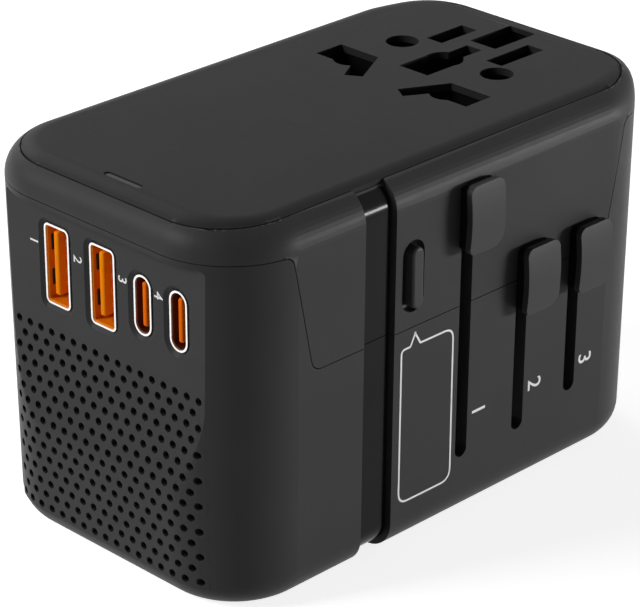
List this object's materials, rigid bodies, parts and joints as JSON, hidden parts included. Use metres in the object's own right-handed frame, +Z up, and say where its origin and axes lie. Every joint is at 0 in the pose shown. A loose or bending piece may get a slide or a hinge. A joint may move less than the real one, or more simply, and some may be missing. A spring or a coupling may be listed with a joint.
{
  "type": "travel voltage converter",
  "caption": "Boxy travel voltage converter with a universal socket on top, four USB ports, a vented end, three side sliders that push plug pins out of the base, and a mode button.",
  "frame": {"origin": "centre of the base, at the level that the converter stands on, midway between the end faces and between the long faces", "axes": "+Z up to the socket face, +X away from the USB end, -Y the side with the sliders"},
  "size_m": [0.0896, 0.0556, 0.058],
  "materials": {
    "case_black": "matte fine-grained moulded ABS",
    "plate_black": "satin moulded ABS",
    "band_gloss": "glossy moulded ABS",
    "inner_black": "matte moulded plastic",
    "cap_black": "satin moulded ABS",
    "port_metal": "bright nickel plate",
    "port_orange": "moulded orange insulator",
    "board_green": "solder mask on glass-epoxy board",
    "contact_brass": "stamped sheet brass",
    "pin_nickel": "nickel-plated brass",
    "sink_aluminium": "extruded aluminium",
    "choke_core": "wound and varnished core",
    "capacitor_sleeve": "sleeved can",
    "fuse_glass": "clear glass with metal caps",
    "light_smoke": "smoked translucent polycarbonate",
    "led_white": "moulded lamp package",
    "screw_steel": "blackened steel"
  },
  "bodies": {
    "case": {"band_lower": "band_gloss", "band_upper": "band_gloss", "capacitor_1": "capacitor_sleeve", "capacitor_2": "capacitor_sleeve", "case_screw_1": "screw_steel", "case_screw_2": "screw_steel", "case_screw_3": "screw_steel", "case_screw_4": "screw_steel", "choke": "choke_core", "converter_board": "board_green", "earth_contact": "contact_brass", "fuse": "fuse_glass", "heat_sink": "sink_aluminium", "indicator_led": "led_white", "light_pipe": "light_smoke", "line_contact": "contact_brass", "lower_case": "case_black", "mode_switch": "inner_black", "neutral_contact": "contact_brass", "partition": "inner_black", "socket_base": "inner_black", "socket_housing": "inner_black", "top_plate": "plate_black", "upper_cover": "case_black", "usb_a_insert_1": "port_orange", "usb_a_insert_2": "port_orange", "usb_a_shell_1": "port_metal", "usb_a_shell_2": "port_metal", "usb_board": "board_green", "usb_c_insert_1": "port_orange", "usb_c_insert_2": "port_orange", "usb_c_shell_1": "port_metal", "usb_c_shell_2": "port_metal"},
    "eu_slider": {"eu_cap": "cap_black", "eu_carrier": "inner_black", "eu_pin_live": "pin_nickel", "eu_pin_neutral": "pin_nickel"},
    "uk_slider": {"uk_cap": "cap_black", "uk_carrier": "inner_black", "uk_pin_live": "pin_nickel", "uk_pin_neutral": "pin_nickel", "uk_pin_earth": "pin_nickel"},
    "us_slider": {"us_cap": "cap_black", "us_carrier": "inner_black", "us_lid": "inner_black"},
    "us_live": {"us_blade_live": "pin_nickel"},
    "us_neutral": {"us_blade_neutral": "pin_nickel"},
    "button": {"mode_button": "cap_black"}
  },
  "joints": [
    {"name": "eu_slide", "type": "slide", "parent": "case", "child": "eu_slider", "axis": [0, 0, -1], "range_m": [0, 0.033]},
    {"name": "uk_slide", "type": "slide", "parent": "case", "child": "uk_slider", "axis": [0, 0, -1], "range_m": [0, 0.0195]},
    {"name": "us_slide", "type": "slide", "parent": "case", "child": "us_slider", "axis": [0, 0, -1], "range_m": [0, 0.0169]},
    {"name": "blade_turn_live", "type": "hinge", "parent": "us_slider", "child": "us_live", "pos_m": [0.0245, 0.00635, 0.02], "axis": [0, 0, 1], "range_deg": [0, 30]},
    {"name": "blade_turn_neutral", "type": "hinge", "parent": "us_slider", "child": "us_neutral", "pos_m": [0.0245, -0.00635, 0.02], "axis": [0, 0, -1], "range_deg": [0, 30]},
    {"name": "mode_press", "type": "slide", "parent": "case", "child": "button", "axis": [0, 1, 0], "range_m": [0, 0.001], "stiffness_N_per_m": 300, "springref_m": -0.001}
  ]
}
